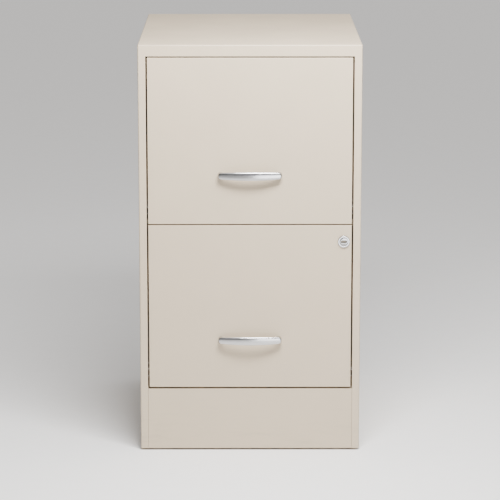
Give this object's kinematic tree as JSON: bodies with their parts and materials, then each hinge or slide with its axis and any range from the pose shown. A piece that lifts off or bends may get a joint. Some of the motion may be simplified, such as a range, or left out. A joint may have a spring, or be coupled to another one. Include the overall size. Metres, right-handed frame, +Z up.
{
  "type": "filing cabinet",
  "caption": "Vertical letter-size steel filing cabinet on a plinth, with inset full-width drawers on roller slides, bow handles and a cam lock.",
  "frame": {"origin": "on the floor, under the middle of the whole object, handles included", "axes": "+Z up; the drawers open towards -Y; +X is to the right when facing the drawers"},
  "size_m": [0.362, 0.473, 0.676],
  "materials": {
    "putty_paint": "baked powder coat, fine orange peel, satin",
    "zinc_steel": "bright zinc plate",
    "fastener_steel": "zinc plated fasteners",
    "handle_chrome": "satin chrome plate",
    "lock_chrome": "polished chrome plate",
    "nylon": "natural nylon",
    "glide_nylon": "black nylon",
    "brass": "stamped brass"
  },
  "bodies": {
    "case": {"case_wrap": "putty_paint", "back_panel": "putty_paint", "back_rivets": "fastener_steel", "kick_plate": "putty_paint", "rear_base_rail": "putty_paint", "mid_rail": "putty_paint", "corner_gussets": "zinc_steel", "glide_front_left": "glide_nylon", "glide_front_right": "glide_nylon", "glide_rear_left": "glide_nylon", "glide_rear_right": "glide_nylon", "lower_left_case_rail": "zinc_steel", "lower_right_case_rail": "zinc_steel", "upper_left_case_rail": "zinc_steel", "upper_right_case_rail": "zinc_steel", "case_rail_rivets": "fastener_steel", "case_roller_pins": "fastener_steel"},
    "lower_drawer": {"lower_front": "putty_paint", "lower_liner": "putty_paint", "lower_left_side": "putty_paint", "lower_right_side": "putty_paint", "lower_bottom": "putty_paint", "lower_back": "putty_paint", "lower_handle": "handle_chrome", "lower_handle_screws": "fastener_steel", "lower_left_drawer_rail": "zinc_steel", "lower_right_drawer_rail": "zinc_steel", "lower_rail_rivets": "fastener_steel", "lower_roller_pins": "fastener_steel", "lock_barrel": "lock_chrome", "lock_clip": "zinc_steel"},
    "upper_drawer": {"upper_front": "putty_paint", "upper_liner": "putty_paint", "upper_left_side": "putty_paint", "upper_right_side": "putty_paint", "upper_bottom": "putty_paint", "upper_back": "putty_paint", "upper_handle": "handle_chrome", "upper_handle_screws": "fastener_steel", "upper_left_drawer_rail": "zinc_steel", "upper_right_drawer_rail": "zinc_steel", "upper_rail_rivets": "fastener_steel", "upper_roller_pins": "fastener_steel"},
    "lock_core": {"lock_plug": "lock_chrome", "lock_wafers": "brass", "lock_cam": "zinc_steel", "lock_cam_screw": "fastener_steel"},
    "lower_left_front_roller": {"lower_left_front_roller": "nylon"},
    "lower_right_front_roller": {"lower_right_front_roller": "nylon"},
    "lower_left_rear_roller": {"lower_left_rear_roller": "nylon"},
    "lower_right_rear_roller": {"lower_right_rear_roller": "nylon"},
    "upper_left_front_roller": {"upper_left_front_roller": "nylon"},
    "upper_right_front_roller": {"upper_right_front_roller": "nylon"},
    "upper_left_rear_roller": {"upper_left_rear_roller": "nylon"},
    "upper_right_rear_roller": {"upper_right_rear_roller": "nylon"}
  },
  "joints": [
    {"name": "upper_drawer_slide", "type": "slide", "parent": "case", "child": "upper_drawer", "axis": [0, -1, 0], "range_m": [0, 0.33]},
    {"name": "lower_drawer_slide", "type": "slide", "parent": "case", "child": "lower_drawer", "axis": [0, -1, 0], "range_m": [0, 0.33]},
    {"name": "lock_turn", "type": "hinge", "parent": "lower_drawer", "child": "lock_core", "pos_m": [0.1532, -0.2205, 0.3535], "axis": [0, -1, 0], "range_deg": [0, 90]},
    {"name": "lower_left_front_roller_turn", "type": "hinge", "parent": "case", "child": "lower_left_front_roller", "pos_m": [-0.16175, -0.1865, 0.1325], "axis": [1, 0, 0], "range_deg": [0, 1900]},
    {"name": "lower_right_front_roller_turn", "type": "hinge", "parent": "case", "child": "lower_right_front_roller", "pos_m": [0.16175, -0.1865, 0.1325], "axis": [1, 0, 0], "range_deg": [0, 1900]},
    {"name": "lower_left_rear_roller_turn", "type": "hinge", "parent": "lower_drawer", "child": "lower_left_rear_roller", "pos_m": [-0.166, 0.1995, 0.1325], "axis": [1, 0, 0], "range_deg": [0, 1900]},
    {"name": "lower_right_rear_roller_turn", "type": "hinge", "parent": "lower_drawer", "child": "lower_right_rear_roller", "pos_m": [0.166, 0.1995, 0.1325], "axis": [1, 0, 0], "range_deg": [0, 1900]},
    {"name": "upper_left_front_roller_turn", "type": "hinge", "parent": "case", "child": "upper_left_front_roller", "pos_m": [-0.16175, -0.1865, 0.407], "axis": [1, 0, 0], "range_deg": [0, 1900]},
    {"name": "upper_right_front_roller_turn", "type": "hinge", "parent": "case", "child": "upper_right_front_roller", "pos_m": [0.16175, -0.1865, 0.407], "axis": [1, 0, 0], "range_deg": [0, 1900]},
    {"name": "upper_left_rear_roller_turn", "type": "hinge", "parent": "upper_drawer", "child": "upper_left_rear_roller", "pos_m": [-0.166, 0.1995, 0.407], "axis": [1, 0, 0], "range_deg": [0, 1900]},
    {"name": "upper_right_rear_roller_turn", "type": "hinge", "parent": "upper_drawer", "child": "upper_right_rear_roller", "pos_m": [0.166, 0.1995, 0.407], "axis": [1, 0, 0], "range_deg": [0, 1900]}
  ],
  "couplings": [
    {"joint": "lower_left_front_roller_turn", "follows": "lower_drawer_slide", "rad_per_m": 100},
    {"joint": "lower_right_front_roller_turn", "follows": "lower_drawer_slide", "rad_per_m": 100},
    {"joint": "lower_left_rear_roller_turn", "follows": "lower_drawer_slide", "rad_per_m": 100},
    {"joint": "lower_right_rear_roller_turn", "follows": "lower_drawer_slide", "rad_per_m": 100},
    {"joint": "upper_left_front_roller_turn", "follows": "upper_drawer_slide", "rad_per_m": 100},
    {"joint": "upper_right_front_roller_turn", "follows": "upper_drawer_slide", "rad_per_m": 100},
    {"joint": "upper_left_rear_roller_turn", "follows": "upper_drawer_slide", "rad_per_m": 100},
    {"joint": "upper_right_rear_roller_turn", "follows": "upper_drawer_slide", "rad_per_m": 100}
  ]
}
